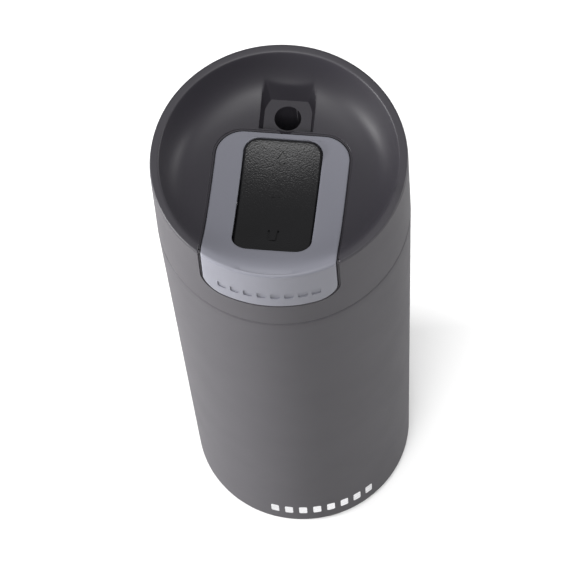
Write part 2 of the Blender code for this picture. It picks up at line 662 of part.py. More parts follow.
def build_cartridge(plastic, silicone, steel, pivot):
    """Removable insert: port plate, skirt with its ring, guide sleeve and two grips to pull it by."""
    skirt = [(0, PORT_PLATE_HIGH), (29.0, PORT_PLATE_HIGH), (29.0, 160.4), (CARTRIDGE_RADIUS, 160.4),
             (CARTRIDGE_RADIUS, 158.2), (30.0, 158.2), (30.0, 156.0), (CARTRIDGE_RADIUS, 156.0),
             (CARTRIDGE_RADIUS, PORT_PLATE_LOW), (0, PORT_PLATE_LOW)]
    frame = turned("cartridge_frame", skirt, plastic, pivot, steps=MEDIUM_STEPS)
    bm = bmesh.new()
    add_disc(bm, 3.4, PORT_PLATE_LOW + 1, 161.0, centre=(0, STEM_Y))
    add_disc(bm, CHIMNEY_RADIUS, PORT_PLATE_LOW + 1, 157.4, centre=(0, DRINK_Y))
    for side in (-1, 1):
        grip = [(22.0, PORT_PLATE_LOW + 1), (24.2, PORT_PLATE_LOW + 1), (24.2, 140.2), (20.4, 140.2),
                (20.4, 141.8), (22.0, 141.8)]
        add_prism(bm, [(side * x, z) for x, z in grip], -6.0, 6.0, axis="Y")
    added = finish_mesh("cartridge_added_tool", bm)
    join(frame, added)
    bm = bmesh.new()
    add_disc(bm, STEM_RADIUS + GAP, 150, 165, centre=(0, STEM_Y))
    add_disc(bm, DRINK_RADIUS, 150, 165, centre=(0, DRINK_Y))
    add_disc(bm, VENT_RADIUS, 150, 165, centre=(0, VENT_Y), steps=12)
    add_disc(bm, VENT_RADIUS, 150, 165, centre=(0, GUIDE_Y), steps=12)
    cut(frame, finish_mesh("port_tool", bm))

    turned("cartridge_ring", arc((30.95, 157.1), 0.7, 0, 300, 5), silicone, pivot, steps=MEDIUM_STEPS)
    solid("spout_seal", silicone, pivot, add_ring, DRINK_RADIUS + GAP, CHIMNEY_RADIUS, 157.7, 159.4,
          centre=(0, DRINK_Y))
    solid("stem_seal", silicone, pivot, add_ring, STEM_RADIUS + GAP, 3.4, 161.3, 162.8, centre=(0, STEM_Y))
    build_return_spring(steel, pivot, 155.9, 168.4)


def build_return_spring(steel, pivot, low, high):
    """Coil around the guide sleeve that lifts the valve shut when the rocker lets it."""
    curve = bpy.data.curves.new("return_spring", "CURVE")
    curve.dimensions = "3D"
    curve.bevel_depth = SPRING_WIRE * MM
    curve.bevel_resolution = 0
    curve.use_fill_caps = True
    steps = 10 * SPRING_TURNS
    spline = curve.splines.new("POLY")
    spline.points.add(steps)
    base = pivot.matrix_world.translation
    for i, point in enumerate(spline.points):
        angle = math.tau * SPRING_TURNS * i / steps
        place = Vector((SPRING_RADIUS * math.cos(angle), STEM_Y + SPRING_RADIUS * math.sin(angle),
                        low + (high - low) * i / steps)) * MM - base
        point.co = (*place, 1.0)
    obj = bpy.data.objects.new("return_spring", curve)
    bpy.context.collection.objects.link(obj)
    obj.parent = pivot
    curve.materials.append(steel)


def build_valve(plastic, silicone, pivot):
    """Beam with a stem, a guide rod and two studs that hold the drinking and the vent seal."""
    bm = bmesh.new()
    beam = rounded_rectangle((-3.5, STEM_Y - 3.5), (3.5, DRINK_Y + 3.5), (3.4,) * 4)
    add_prism(bm, beam, BEAM_LOW, BEAM_HIGH)
    carriage = finish_mesh("valve_carriage", bm, plastic, pivot)
    bm = bmesh.new()
    add_disc(bm, STEM_RADIUS, BEAM_LOW + 0.6, 170.9, centre=(0, STEM_Y))
    add_disc(bm, VENT_RADIUS - GAP, BEAM_LOW + 0.6, 158.0, centre=(0, GUIDE_Y), steps=12)
    for y in (DRINK_Y, VENT_Y):
        add_disc(bm, 1.2, BEAM_LOW + 0.6, SEAL_TOP + 0.5, centre=(0, y), steps=12)
    join(carriage, finish_mesh("carriage_rods_tool", bm))

    cap = [(0, 171.7), (4.6, 171.7), (5.0, 171.3), (5.0, 169.2), (STEM_RADIUS + GAP, 169.2),
           (STEM_RADIUS + GAP, 171.2), (0, 171.2)]
    turned("stem_cap", cap, plastic, pivot, centre=(0, STEM_Y), steps=SMALL_STEPS)
    for name, y, radius in (("drink_seal", DRINK_Y, 5.4), ("vent_seal", VENT_Y, 3.5)):
        profile = [(1.5, SEAL_TOP), (radius - 0.8, SEAL_TOP), (radius, SEAL_TOP - 0.8),
                   (radius, BEAM_HIGH + GAP), (1.5, BEAM_HIGH + GAP)]
        turned(name, profile, silicone, pivot, centre=(0, y), steps=SMALL_STEPS)


def main():
    clear_scene()
    paint = make_material("grey_paint", (0.155, 0.152, 0.155), 0.45)
    steel = make_material("bare_steel", (0.56, 0.56, 0.57), 0.3, 1.0)
    bowl = make_material("charcoal_plastic", (0.075, 0.073, 0.08), 0.5)
    slate = make_material("slate_plastic", (0.2, 0.205, 0.225), 0.5)
    plastic = make_material("inner_plastic", (0.05, 0.05, 0.055), 0.5)
    soft = make_material("soft_black", (0.012, 0.012, 0.013), 0.7)
    silicone = make_material("silicone", (0.22, 0.22, 0.23), 0.6)
    foot = make_material("foot_silicone", (0.03, 0.03, 0.032), 0.75)
    braze = make_material("braze", (0.35, 0.3, 0.22), 0.5, 1.0)
    getter = make_material("getter_alloy", (0.3, 0.3, 0.3), 0.6, 1.0)

    build_outer_shell(paint)
    build_inner_vessel(steel)
    build_mug_base(steel, foot, braze, getter)

    lift = make_pivot("lid_lift_axis")
    turn = make_pivot("lid_turn_axis", parent=lift)
    rocker = make_pivot("rocker_axis", PIVOT, turn)
    cartridge = make_pivot("cartridge_axis", (0, 0, PORT_PLATE_LOW), turn)
    valve = make_pivot("valve_axis", (0, STEM_Y, BEAM_HIGH), cartridge)

    gasket = [(33.3, 167.6), (34.5, 167.6), (34.95, 166.9), (34.6, 166.0), (34.95, 165.1),
              (34.5, 164.4), (33.3, 164.4)]
    turned("lid_gasket", gasket, silicone, lift)
    build_lid_housing(bowl, turn)
    build_lid_collar(paint, turn)
    build_trim_plate(slate, turn)
    build_lid_plug(plastic, turn)
    build_rocker_frame(plastic, steel, silicone, turn)
    build_rocker(soft, plastic, rocker)
    build_cartridge(plastic, silicone, steel, cartridge)
    build_valve(plastic, silicone, valve)


main()
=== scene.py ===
"""Looks of the insulated travel mug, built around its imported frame.

Shapes are drawn in millimetres in the frame's own axes (+Z up, front -Y) and turned into metres by
MM. Each fine piece follows the node that it stands for, with rounder curves and edges, but differs
in places: the trim plate is up to 0.6 mm smaller and 0.25 mm thinner, the spout pocket is 7 mm
deeper and its hole 0.6 mm wider, the bowl's back wall is steeper, the shell's wall is 0.25 mm
thinner, and the gaps beside and behind the rocker are narrower. The marks and
signs exist only here.
"""
import json
import math
import bmesh
import bpy
from mathutils import Matrix, Vector

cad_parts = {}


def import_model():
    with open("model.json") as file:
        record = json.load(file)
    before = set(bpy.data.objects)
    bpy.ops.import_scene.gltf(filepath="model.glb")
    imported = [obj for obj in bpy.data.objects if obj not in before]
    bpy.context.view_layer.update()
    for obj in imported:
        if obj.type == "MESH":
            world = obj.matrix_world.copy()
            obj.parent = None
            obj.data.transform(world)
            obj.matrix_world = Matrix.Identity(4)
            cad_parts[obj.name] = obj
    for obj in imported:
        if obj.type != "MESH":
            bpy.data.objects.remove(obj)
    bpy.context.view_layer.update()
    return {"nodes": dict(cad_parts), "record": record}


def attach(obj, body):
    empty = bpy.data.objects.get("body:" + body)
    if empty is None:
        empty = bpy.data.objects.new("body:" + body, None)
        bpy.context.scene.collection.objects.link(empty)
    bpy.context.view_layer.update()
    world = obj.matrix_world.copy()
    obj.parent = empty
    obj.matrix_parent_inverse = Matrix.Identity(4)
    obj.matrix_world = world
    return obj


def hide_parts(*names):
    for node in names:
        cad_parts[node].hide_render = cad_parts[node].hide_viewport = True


MM = 0.001

# Overall form
HEIGHT = 205.0
RIM_RADIUS = 40.0
BODY_TOP_RADIUS = 39.87
BASE_RADIUS = 35.2
BASE_CORNER = 3.0
BASE_LIFT = 1.0
SEAM_LOW = 169.5
SEAM_HIGH = 170.0
WALL = 0.35
SHELL_LIP_RADIUS = 37.6
PAD_RADIUS = 29.9
PAD_THICKNESS = 2.0
PAD_ROUND = 0.6
PAD_STEPS = 96
PAD_GROOVES = (25.0, 18.0, 11.0)
GROOVE_PROFILE = ((0.2, 0.0), (0.0, 0.2), (-0.4, 0.8), (-1.6, 0.8), (-2.0, 0.2), (-2.2, 0.0))
FOOT_GAP = 0.3
SHELL_TOP_ROUND = 1.0
SHELL_TOP_INSIDE = 1.4
SHELL_STEPS = 40
ROUND_STEPS = 192

# Shading breaks at edges sharper than these angles, in degrees
PIECE_SHARP = 35.0
LID_SHARP = 30
ROCKER_SHARP = 40
NODE_SHARP = 30

# Bowl of the lid
FLOOR_Z = 191.7
FLOOR_LOW_Y = 20.5
FLOOR_SWEEP = 133.0
BOWL_RADIUS = 37.2
WALL_POWER_SIDE = 12.0
WALL_POWER_BACK = 8.5
WALL_POWER_FRONT = 7.0
RIM_BLEND = 0.35
RIM_BLEND_LIMIT = 10
WALL_CLEAR_OF_RIM = 8
LIP_RADIUS = 39.9
LIP_LOW = 204.5
LIP_ROUND = 0.45
LIP_STEP = 0.2
HOUSING_RADIUS = 38.5
COLLAR_TOP = 204.2
COLLAR_INSIDE = 38.8
COLLAR_BORE = 37.2
COLLAR_TOP_ROUND = 0.3
COLLAR_FOOT_ROUND = 0.4
COLLAR_TAPER = 0.13
COLLAR_TAPER_START = 1
COLLAR_TAPER_LENGTH = 32.6
COLLAR_STEPS = 8
CEILING = 3.2
CEILING_RINGS = (0.0, 8.0, 16.0, 24.0, 29.0, 34.0, COLLAR_BORE)
CEILING_SIDE_RADIUS = 30
CEILING_SIDE = 188.6
CEILING_EDGE_RADIUS = 36
CEILING_EDGE = 186.0
BOWL_RINGS = ((38.9, 36.0, 0.14), (36.0, 17.0, 0.26), (17.0, 0.0, 2.0))
BOWL_TURN = 2.25
SPOUT_TURN = 0.45
SPOUT_TURNS = (63.0, 117.0)

# Drinking spout
SPOUT_HALF = 8.3
SPOUT_FRONT = 18.0
SPOUT_FLOOR = 181.0
SPOUT_BLEND = 0.22
SPOUT_CEILING = 188.5
SPOUT_CEILING_FRONT = 14.0
SPOUT_REACH = 3
SPOUT_SIDE_SLOPE = 9.0
SPOUT_LEAST_FLANK = 0.05
SPOUT_FOOT_PLACES = ((SPOUT_FRONT, SPOUT_FLOOR), (24.6, SPOUT_FLOOR), (28.4, 188.2), (30.0, 191.8),
                     (31.2, 194.6), (32.4, 197.2), (34.0, 202.0), (35.5, 208.0))
SPOUT_HALF_PLACES = ((SPOUT_FRONT, 4.3), (25.0, 4.7), (28.0, 5.5), (31.0, 7.3), (33.0, SPOUT_HALF))
SPOUT_TOP_PLACES = ((SPOUT_FRONT, 190.6), (25.0, 190.9), (28.0, 192.6), (31.0, 196.0), (33.0, 199.6),
                    (35.5, 208.2))
BLOCK_HALF = 10.5
BLOCK_FRONT = 15.6
BLOCK_BACK = 33.0
BLOCK_SKIN = 1.4
BLOCK_TOP_GAP = 0.005
DRINK_Y = 22.3
DRINK_RADIUS = 4.3
CHIMNEY_RADIUS = 5.8
CHIMNEY_FOOT = 159.7
CHIMNEY_OVERLAP = 0.5
CHIMNEY_STEPS = 48
BORE_INSET = 0.1
BORE_ENDS = (150.0, 200.0)
BORE_STEPS = 64

# Trim plate
TRIM_HALF = 20.9
TRIM_BACK = 15.4
TRIM_CORNER = 8.5
TRIM_FOOT = 183.5
TRIM_FOOT_CORNER = 6.0
TRIM_THICKNESS = 0.95
TRIM_EDGE = 0.3
GAP_WIDTH = 0.34
GAP_DEPTH = 1.35
SHELF_WIDTH = 0.9
SHELF_DEPTH = 0.5
SHELF_CHAMFER = 0.12
RECESS_REACH = 2.5
LEAST_ROUND = 0.05
FOLD_ROUND = 1.0
FOLD_STEPS = 16
FOLD = RIM_RADIUS - FOLD_ROUND
APRON_TOP = FOLD + FOLD_ROUND * math.pi / 2
APRON_FOOT = APRON_TOP + HEIGHT - FOLD_ROUND - TRIM_FOOT
FLANK = 10
MIDDLE = 8
MERGE_DISTANCE = 0.02
TRIM_SPACING = 1.4
STRIP_SPACING = 1.2
TRIM_BEND_STEPS = 12
BEND_STEPS = 10
TRIM_SIDE_START = -7.0

# Plain marks on the apron and near the foot
MARK_COUNT = 8
MARK_DEPTH = 0.35
MARK_CORNER = 0.6
MARK_CORNER_STEPS = 4
MARK_TOOL_REACH = 1
APRON_MARKS_Z = 190.6
APRON_MARK_SIZE = (2.9, 3.4)
APRON_MARK_STEP = 4.3
FOOT_MARKS_Z = 11.5
FOOT_MARKS_TURN = 17.0
FOOT_MARK_SIZE = (3.0, 5.2)
FOOT_MARK_STEP = 5.3
PRINT_PROUD = 0.04

# Rocker
WINDOW_HALF = 12.4
WINDOW_BACK = 13.5
WINDOW_FRONT = -29.5
WINDOW_CORNER = 5.0
WINDOW_MARGIN = 0.2
WINDOW_TOOL_REACH = 5
ROCKER_CLEARANCE = 0.4
ROCKER_SIDE_CLEARANCE = 0.12
ROCKER_SWING = 0.35
ROCKER_EDGE = 0.9
PIVOT_Y = -8.0
ROCKER_TILT = 4.0
ROCKER_DISH = 1.6
ROCKER_DISH_ACROSS = 0.3
ROCKER_EDGE_STEPS = 7
PAD_SKIN = 2.2
PAD_INSETS = (1.6, 2.4, 3.2, 4.0)
UNDERSIDE_SHARES = (0.0, 0.2, 0.4, 0.6, 0.8)
TOP_SHARES = (0.85, 0.7, 0.55, 0.4, 0.25, 0.1, 0.0)

# Signs on the rocker
ICON_DEPTH = 0.45
ICON_TOOL_REACH = 1.0
DROP_Y = 5.6
DROP_RADIUS = 1.35
DROP_TIP_Y = 8.6
DROP_WIDTH = 0.7
CUP = ((-1.5, -20.0), (-1.15, -24.2), (1.15, -24.2), (1.5, -20.0))
CUP_WIDTH = 0.65
BAR_HALF = 1.9
BAR_Y = PIVOT_Y + 1.0
BAR_WIDTH = 0.6
BAR_PROUD = 0.25


# ---------------------------------------------------------------- mesh helpers

def finish_piece(name, bm, material=None, smooth_angle=PIECE_SHARP):
    """Turn a bmesh drawn in millimetres into an object."""
    bmesh.ops.remove_doubles(bm, verts=bm.verts, dist=1e-4)
    bmesh.ops.dissolve_degenerate(bm, edges=bm.edges, dist=1e-5)
    bmesh.ops.delete(bm, geom=[v for v in bm.verts if not v.link_faces], context="VERTS")
    bmesh.ops.recalc_face_normals(bm, faces=bm.faces)
    bm.transform(Matrix.Scale(MM, 4))
    mesh = bpy.data.meshes.new(name)
    bm.to_mesh(mesh)
    bm.free()
    mesh.shade_smooth()
    mesh.set_sharp_from_angle(angle=math.radians(smooth_angle))
    obj = bpy.data.objects.new(name, mesh)
    bpy.context.collection.objects.link(obj)
    if material is not None:
        mesh.materials.append(material)
    return obj


def drawn(name, material, draw, *args, **options):
    """Make an object from a function that draws into an empty bmesh."""
    bm = bmesh.new()
    draw(bm, *args, **options)
    return finish_piece(name, bm, material)


def combine(obj, smooth_angle, **tools):
    """Join and cut with Boolean tools, keep the result as the object's own mesh and clear the modifiers."""
    for operation in ("UNION", "DIFFERENCE"):
        for tool in tools.get(operation.lower(), ()):
            modifier = obj.modifiers.new(tool.name, "BOOLEAN")
            modifier.operation = operation
            modifier.solver = "MANIFOLD"
            modifier.object = tool
    bpy.context.view_layer.update()
    result = bpy.data.meshes.new_from_object(obj.evaluated_get(bpy.context.evaluated_depsgraph_get()))
    obj.modifiers.clear()
    obj.data = result
    result.shade_smooth()
    result.set_sharp_from_angle(angle=math.radians(smooth_angle))


def drop(*tools):
    for tool in tools:
        bpy.data.objects.remove(tool, do_unlink=True)


def arc(centre, radius, start, end, steps):
    points = []
    for i in range(steps + 1):
        angle = math.radians(start + (end - start) * i / steps)
        points.append((centre[0] + radius * math.cos(angle), centre[1] + radius * math.sin(angle)))
    return points


def rounded_rectangle(low, high, radius, steps=10):
    """Outline with equal corners, anticlockwise, its straight sides divided as well."""
    corners = ((low[0] + radius, low[1] + radius, 180), (high[0] - radius, low[1] + radius, 270),
               (high[0] - radius, high[1] - radius, 0), (low[0] + radius, high[1] - radius, 90))
    outline = []
    for x, y, start in corners:
        bend = arc((x, y), radius, start, start + 90, steps)
        if outline:
            outline += between(outline[-1], bend[0])
        outline += bend
    return outline + between(outline[-1], outline[0])


def between(start, end, spacing=1.2):
    """Points that divide a straight stretch, without its ends."""
    count = max(1, round(math.dist(start, end) / spacing))
    return [tuple(Vector(start).lerp(Vector(end), i / count)) for i in range(1, count)]


def add_turned(bm, profile, centre=(0.0, 0.0), steps=ROUND_STEPS):
    """Spin a closed profile of (radius, z) points about a vertical axis."""
    verts = [bm.verts.new((centre[0] + r, centre[1], z)) for r, z in profile]
    edges = [bm.edges.new((verts[i], verts[(i + 1) % len(verts)])) for i in range(len(verts))]
    bmesh.ops.spin(bm, geom=verts + edges, cent=(centre[0], centre[1], 0), axis=(0, 0, 1),
                   angle=math.tau, steps=steps, use_merge=True, use_duplicate=False)


def close_prism(bm, low, high):
    """Sides and both ends of a prism between two rings of vertices."""
    for i in range(len(low)):
        j = (i + 1) % len(low)
        bm.faces.new((low[i], low[j], high[j], high[i]))
    bm.faces.new(low[::-1])
    bm.faces.new(high)


def add_prism(bm, outline, low, high):
    """Extrude an (x, y) outline between two heights."""
    close_prism(bm, *([bm.verts.new((x, y, z)) for x, y in outline] for z in (low, high)))


def join_rings(bm, rings):
    """Closed skin over rings of vertices; a ring of one vertex is an end's centre."""
    count = max(len(ring) for ring in rings)
    for lower, upper in zip(rings, rings[1:]):
        for i in range(count):
            j = (i + 1) % count
            corners = (lower[i % len(lower)], lower[j % len(lower)],
                       upper[j % len(upper)], upper[i % len(upper)])
            bm.faces.new(list(dict.fromkeys(corners)))


# ---------------------------------------------------------------- shared surfaces

def soft_min(a, b, blend):
    """The lower of two heights, with their crossing rounded over about twice blend."""
    return 0.5 * (a + b - math.sqrt((a - b) ** 2 + 4 * blend * blend))


def soft_max(a, b, blend):
    return -soft_min(-a, -b, blend)


def blend_steps(value, places):
    """Piecewise straight function through (argument, result) places."""
    for (low, first), (high, second) in zip(places, places[1:]):
        if value <= high:
            return first + (second - first) * (value - low) / (high - low)
    return places[-1][1]


def floor_height(y):
    return FLOOR_Z + FLOOR_SWEEP - math.sqrt(FLOOR_SWEEP ** 2 - (y - FLOOR_LOW_Y) ** 2)


def bowl_height(x, y):
    """The floor, growing into the wall with a power of the radius and rounding over into the rim."""
    end = WALL_POWER_BACK if y > 0 else WALL_POWER_FRONT
    share = min((y / BOWL_RADIUS) ** 2, 1.0)
    power = WALL_POWER_SIDE - (WALL_POWER_SIDE - end) * share
    floor = floor_height(y)
    wall = floor + (HEIGHT - floor) * (math.hypot(x, y) / BOWL_RADIUS) ** power
    if wall > HEIGHT + WALL_CLEAR_OF_RIM:
        return HEIGHT
    rounding = min(RIM_BLEND, (HEIGHT - floor) / RIM_BLEND_LIMIT)
    return min(HEIGHT, soft_min(wall, HEIGHT, rounding))


def spout_height(x, y):
    """The drinking pocket: a chute down the back wall between two flanks that close towards the hole."""
    foot = blend_steps(y, SPOUT_FOOT_PLACES)
    half = blend_steps(y, SPOUT_HALF_PLACES)
    top = blend_steps(y, SPOUT_TOP_PLACES)
    flank = foot + (top - foot) * (abs(x) - half) / max(SPOUT_HALF - half, SPOUT_LEAST_FLANK)
    height = soft_max(foot, flank, SPOUT_BLEND)
    height = soft_max(height, top + (abs(x) - SPOUT_HALF) * SPOUT_SIDE_SLOPE, SPOUT_BLEND)
    return soft_max(height, SPOUT_FLOOR + (SPOUT_FRONT - y) * SPOUT_SIDE_SLOPE, SPOUT_BLEND)


def bowl_with_spout(x, y):
    bowl = bowl_height(x, y)
    if y < SPOUT_FRONT - SPOUT_REACH or abs(x) > SPOUT_HALF + SPOUT_REACH:
        return bowl
    return min(bowl, soft_min(bowl, spout_height(x, y), SPOUT_BLEND))


def rocker_height(x, y):
    """Touch surface at rest: dished for a finger, its front end low and its back end proud."""
    along = (y - PIVOT_Y) / (WINDOW_BACK - PIVOT_Y)
    dish = ROCKER_DISH * (1 - along ** 2) * (1 - ROCKER_DISH_ACROSS * (x / WINDOW_HALF) ** 2)
    return floor_height(y) - dish + math.tan(math.radians(ROCKER_TILT)) * (y - PIVOT_Y)


# ---------------------------------------------------------------- lid

def bowl_angles():
    """Directions round the bowl, close together across the spout."""
    angles = []
    angle = -90.0
    while angle < 270.0 - 1e-6:
        angles.append(math.radians(angle))
        angle += SPOUT_TURN if SPOUT_TURNS[0] <= angle < SPOUT_TURNS[1] else BOWL_TURN
    return angles


def add_levels(bm, levels, angles):
    """A closed skin of rings of (radius, height function), from the underside's centre to the top's."""
    rows = []
    for radius, height in levels:
        row = []
        for angle in (angles if radius > 0 else angles[:1]):
            x, y = radius * math.cos(angle), radius * math.sin(angle)
            row.append(bm.verts.new((x, y, height(x, y))))
        rows.append(row)
    join_rings(bm, rows)


def spaced(start, end, spacing):
    count = max(1, round(abs(end - start) / spacing))
    return [start + (end - start) * i / count for i in range(count)]


def ceiling_height(radius, y):
    height = SPOUT_CEILING if y > SPOUT_CEILING_FRONT else floor_height(y) - CEILING
    if radius > CEILING_EDGE_RADIUS:
        return CEILING_EDGE
    return min(height, CEILING_SIDE) if radius > CEILING_SIDE_RADIUS else height


def housing_levels():
    """Levels of the housing's skin: ceiling, bore, skirt, lip and bowl."""
    levels = [(r, lambda x, y, r=r: ceiling_height(r, y)) for r in CEILING_RINGS]
    skirt = [(COLLAR_BORE, SEAM_HIGH), (HOUSING_RADIUS, SEAM_HIGH), (HOUSING_RADIUS, LIP_LOW)]
    lip = arc((LIP_RADIUS - LIP_ROUND, HEIGHT - LIP_ROUND), LIP_ROUND, 0, 90, 5)
    for r, z in skirt + [(LIP_RADIUS - LIP_STEP, LIP_LOW)] + lip:
        levels.append((r, lambda x, y, level=z: level))
    radii = [radius for ring in BOWL_RINGS for radius in spaced(*ring)] + [0.0]
    return levels + [(r, bowl_with_spout) for r in radii]


def trim_places():
    """Places u along the plate's middle, from its back edge over the bowl and the fold to its foot:
    close together where a corner of the plate or of the window bends."""
    def bends(start, radius, steps, sign):
        return [start + sign * radius * (1 - math.cos(math.pi / 2 * i / steps)) for i in range(steps + 1)]

    places = bends(-TRIM_BACK, TRIM_CORNER, TRIM_BEND_STEPS, 1)
    places += bends(-WINDOW_BACK, WINDOW_CORNER, BEND_STEPS, 1)
    places += bends(-WINDOW_FRONT, WINDOW_CORNER, BEND_STEPS, -1)
    places += spaced(TRIM_SIDE_START, -WINDOW_FRONT - WINDOW_CORNER, TRIM_SPACING)
    places += spaced(-WINDOW_FRONT, FOLD, STRIP_SPACING)
    places += spaced(FOLD, APRON_TOP, FOLD_ROUND * math.pi / FOLD_STEPS)
    places += spaced(APRON_TOP, APRON_FOOT - TRIM_FOOT_CORNER, TRIM_SPACING)
    places += bends(APRON_FOOT, TRIM_FOOT_CORNER, BEND_STEPS, -1)
    kept = []
    for place in sorted(places):
        if not kept or place - kept[-1] > MERGE_DISTANCE or place in (-WINDOW_BACK, -WINDOW_FRONT):
            kept.append(place)
    return kept


def grown_place(u, grow):
    """Move a place near the plate's back edge or foot outwards as the outline grows."""
    if u < -WINDOW_BACK:
        share = (-WINDOW_BACK - u) / (TRIM_BACK - WINDOW_BACK)
        return u - grow * share
    share = max(0.0, (u - APRON_TOP) / (APRON_FOOT - APRON_TOP))
    return u + grow * share


def trim_half(u, grow):
    """Half width of the plate at u, with its outline grown all round."""
    half = TRIM_HALF + grow
    back, foot = u + TRIM_BACK + grow, APRON_FOOT + grow - u
    for edge, radius in ((back, TRIM_CORNER + grow), (foot, TRIM_FOOT_CORNER + grow)):
        if edge < radius:
            bend = math.sqrt(max(radius ** 2 - (radius - edge) ** 2, 0.0))
            half = min(half, TRIM_HALF + grow - radius + bend)
    return half


def window_half(u):
    """Half width of the window at u, or None outside it."""
    edge = min(u + WINDOW_BACK, -WINDOW_FRONT - u)
    if edge < -1e-6:
        return None
    if edge >= WINDOW_CORNER:
        return WINDOW_HALF
    bend = math.sqrt(max(WINDOW_CORNER ** 2 - (WINDOW_CORNER - edge) ** 2, 0.0))
    return WINDOW_HALF - WINDOW_CORNER + bend


def lid_skin(x, u, depth):
    """A point on the lid's outside: u runs forward over the bowl, round the fold and down the collar,
    and depth goes into the lid."""
    outside = RIM_RADIUS - depth
    rounding = max(FOLD_ROUND - depth, LEAST_ROUND)
    inside = outside - rounding
    turn = (u - FOLD) / FOLD_ROUND
    if turn <= 0:
        shift = inside - math.sqrt(inside ** 2 - x ** 2)
        share = max(0.0, (u + WINDOW_FRONT) / (FOLD + WINDOW_FRONT))
        y = -(u - shift * share) + (FOLD - inside) * share
        return Vector((x, y, bowl_height(x, y) - depth))
    fallen = max(0.0, u - FOLD - FOLD_ROUND * math.pi / 2)
    turn = min(turn, math.pi / 2)
    radius = inside + rounding * math.sin(turn)
    height = HEIGHT - depth - rounding * (1 - math.cos(turn)) - fallen
    return Vector((x, -math.sqrt(radius ** 2 - x ** 2), height))


def add_trim_stack(bm, levels, window):
    """A closed solid whose outline follows the trim plate through levels of (grow, depth). With a
    window, each level's window shrinks as its outline grows."""
    places = trim_places()
    verts = [[[bm.verts.new(point) for point in trim_line(place, grow, depth, window)] for place in places]
             for grow, depth in levels]
    columns = len(verts[0][0])
    in_window = [window_half(place) is not None for place in places]
    cells = set()
    for r in range(len(places) - 1):
        for k in range(columns - 1):
            opening = window and in_window[r] and in_window[r + 1] and FLANK <= k < FLANK + MIDDLE
            if not opening:
                cells.add((r, k))
    for r, k in sorted(cells):
        for sheet in (verts[0], verts[-1]):
            bm.faces.new((sheet[r][k], sheet[r][k + 1], sheet[r + 1][k + 1], sheet[r + 1][k]))
        sides = (((r, k), (r, k + 1), (r - 1, k)), ((r, k + 1), (r + 1, k + 1), (r, k + 1)),
                 ((r + 1, k + 1), (r + 1, k), (r + 1, k)), ((r + 1, k), (r, k), (r, k - 1)))
        for (r1, k1), (r2, k2), neighbour in sides:
            if neighbour not in cells:
                for upper, lower in zip(verts, verts[1:]):
                    bm.faces.new((upper[r1][k1], upper[r2][k2], lower[r2][k2], lower[r1][k1]))


def trim_line(place, grow, depth, window):
    """One row of points across the plate: flank, middle in front of, over or behind the window, flank."""
    u = grown_place(place, grow)
    half = trim_half(u, grow)
    opening = window_half(place)
    inner = WINDOW_HALF - WINDOW_CORNER if opening is None else opening
    shares = [k / FLANK for k in range(FLANK + 1)]
    line = [(-half + (half - inner) * share, 1 - share) for share in shares]
    line += [(inner * (2 * k / MIDDLE - 1), 0.0) for k in range(1, MIDDLE)]
    line += [(inner + (half - inner) * share, share) for share in shares]
    if not window or opening is None:
        return [lid_skin(x, u, depth) for x, _ in line]
    centre = -(WINDOW_BACK + WINDOW_FRONT) / 2
    narrow = 1 - grow / WINDOW_HALF
    shorten = 1 - 2 * grow / (WINDOW_BACK - WINDOW_FRONT)
    points = []
    for x, share in line:
        pull = 1 - share
        points.append(lid_skin(x * (1 + (narrow - 1) * pull), u + (centre - u) * (1 - shorten) * pull, depth))
    return points


def trim_edge_levels():
    """Rounded upper edge, side and underside of the trim plate."""
    levels = [(-TRIM_EDGE + r, TRIM_EDGE - z) for r, z in arc((0.0, 0.0), TRIM_EDGE, 90, 0, 4)]
    return levels + [(0.0, TRIM_THICKNESS)]


def add_recess(bm):
    """Room for the trim plate: a narrow gap at its edge and a shallow shelf outside the gap."""
    outside = SHELF_WIDTH + 2 * SHELF_CHAMFER
    levels = [(GAP_WIDTH, GAP_DEPTH), (GAP_WIDTH, SHELF_DEPTH), (SHELF_WIDTH, SHELF_DEPTH),
              (SHELF_WIDTH, SHELF_CHAMFER), (outside, -SHELF_CHAMFER), (outside, -RECESS_REACH)]
    add_trim_stack(bm, levels, False)


def add_marks(bm, centre_z, size, step, inner, outer, turn=0.0):
    """A row of plain rounded blocks bent round the front, between two radii given as functions of z."""
    outline = rounded_rectangle((-size[0] / 2, -size[1] / 2), (size[0] / 2, size[1] / 2),
                                MARK_CORNER, MARK_CORNER_STEPS)
    for i in range(MARK_COUNT):
        middle = (i - (MARK_COUNT - 1) / 2) * step
        rows = []
        for radius in (inner, outer):
            row = []
            for across, up in outline:
                r = radius(centre_z + up)
                angle = (middle + across) / RIM_RADIUS + math.radians(turn)
                row.append(bm.verts.new((r * math.sin(angle), -r * math.cos(angle), centre_z + up)))
            rows.append(row)
        close_prism(bm, *rows)


def collar_profile():
    """Section of the collar's sleeve, tapering with the body and rounded at both ends."""
    top, foot = COLLAR_TOP_ROUND, COLLAR_FOOT_ROUND
    profile = [(COLLAR_INSIDE, COLLAR_TOP)] + arc((RIM_RADIUS - top, COLLAR_TOP - top), top, 90, 0, 5)
    for i in range(COLLAR_STEPS + 1):
        profile.append((RIM_RADIUS - COLLAR_TAPER * i / COLLAR_STEPS,
                        COLLAR_TOP - COLLAR_TAPER_START - COLLAR_TAPER_LENGTH * i / COLLAR_STEPS))
    profile += arc((BODY_TOP_RADIUS - foot, SEAM_HIGH + foot), foot, 0, -90, 4)
    return profile + [(COLLAR_INSIDE, SEAM_HIGH)]


